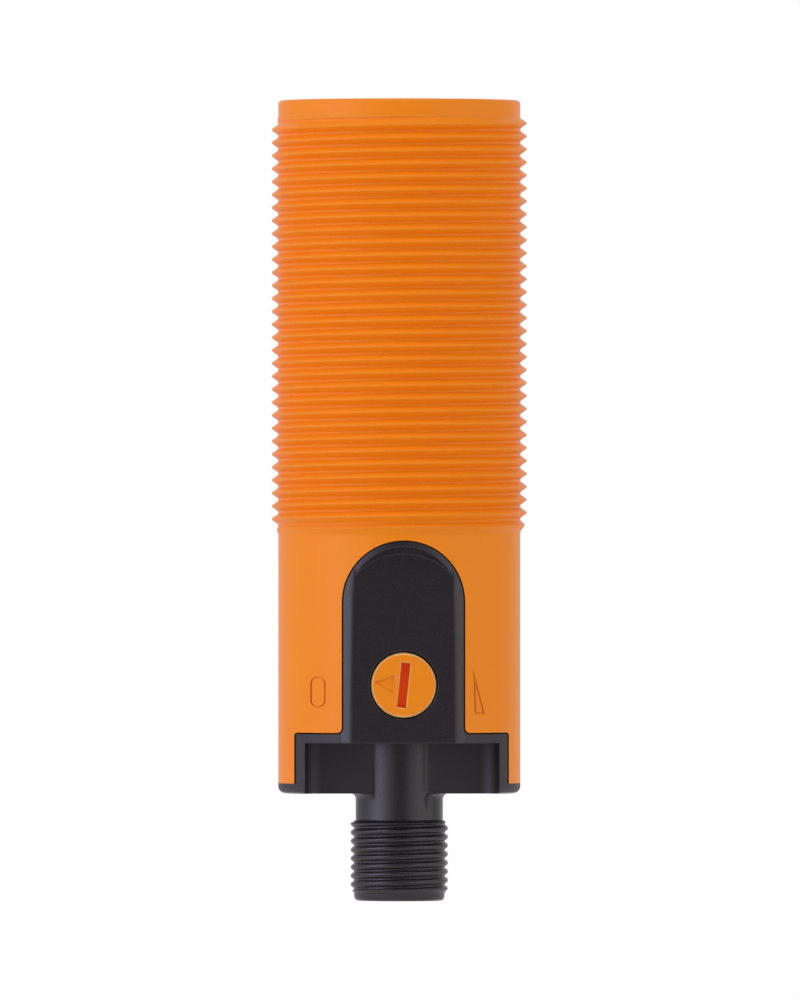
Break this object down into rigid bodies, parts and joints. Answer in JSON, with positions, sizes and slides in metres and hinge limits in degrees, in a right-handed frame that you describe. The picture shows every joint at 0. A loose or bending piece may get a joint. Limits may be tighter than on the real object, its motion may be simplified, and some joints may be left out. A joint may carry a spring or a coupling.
{
  "type": "photoelectric sensor",
  "caption": "Tubular plastic photoelectric sensor with a threaded barrel, front lens, slotted sensitivity adjuster and round pin connector.",
  "frame": {"origin": "centre of the connector's open end, on the barrel's axis", "axes": "+Z along the barrel towards the sensing face, -Y towards the side with the adjuster"},
  "size_m": [0.0298, 0.0298, 0.0925],
  "materials": {
    "orange_sleeve": "moulded PBT, satin",
    "orange_adjuster": "moulded, satin",
    "black_cap": "moulded PBT, satin black",
    "lens": "dark red tinted acrylic, polished",
    "seal": "moulded rubber",
    "black_moulding": "moulded, matt black",
    "clear_epoxy": "clear cast epoxy or acrylic",
    "dark_epoxy": "moulded epoxy package",
    "tinned_steel": "tinned sheet",
    "board": "glass fibre laminate with green solder mask",
    "capacitor": "moulded tantalum capacitor",
    "resistor": "ceramic chip with tinned ends",
    "trimmer_blue": "moulded trimmer case",
    "trimmer_ivory": "moulded rotor",
    "gilt_brass": "turned and gilt",
    "wire_brown": "insulated wire",
    "wire_white": "insulated wire",
    "wire_blue": "insulated wire",
    "wire_black": "insulated wire"
  },
  "bodies": {
    "housing": {"threaded_sleeve": "orange_sleeve", "front_lens": "lens", "lens_seal": "seal", "optics_holder": "black_moulding", "emitter_led": "clear_epoxy", "emitter_collar": "black_moulding", "receiver_photodiode": "dark_epoxy", "receiver_shield": "tinned_steel", "optics_board": "board", "board_header": "black_moulding", "main_board": "board", "control_chip": "dark_epoxy", "resonator": "tinned_steel", "voltage_regulator": "dark_epoxy", "output_transistor_1": "dark_epoxy", "output_transistor_2": "dark_epoxy", "capacitor_1": "capacitor", "capacitor_2": "capacitor", "capacitor_3": "capacitor", "resistor_1": "resistor", "resistor_2": "resistor", "resistor_3": "resistor", "resistor_4": "resistor", "resistor_5": "resistor", "resistor_6": "resistor", "suppressor_diode_1": "dark_epoxy", "suppressor_diode_2": "dark_epoxy", "suppressor_diode_3": "dark_epoxy", "trimmer_body": "trimmer_blue", "status_led": "clear_epoxy", "light_guide": "clear_epoxy", "end_cap": "black_cap", "end_cap_seal": "seal", "contact_carrier": "black_moulding", "contact_pin_1": "gilt_brass", "contact_pin_2": "gilt_brass", "contact_pin_3": "gilt_brass", "contact_pin_4": "gilt_brass", "carrier_seal": "seal", "lead_wire_1": "wire_brown", "lead_wire_2": "wire_white", "lead_wire_3": "wire_blue", "lead_wire_4": "wire_black"},
    "adjuster": {"adjuster_screw": "orange_adjuster", "adjuster_seal": "seal", "adjuster_clip": "tinned_steel", "trimmer_rotor": "trimmer_ivory"}
  },
  "joints": [
    {"name": "adjuster_turn", "type": "hinge", "parent": "housing", "child": "adjuster", "pos_m": [0, -0.01273, 0.025], "axis": [0, -1, 0], "range_deg": [-219, 51]}
  ]
}
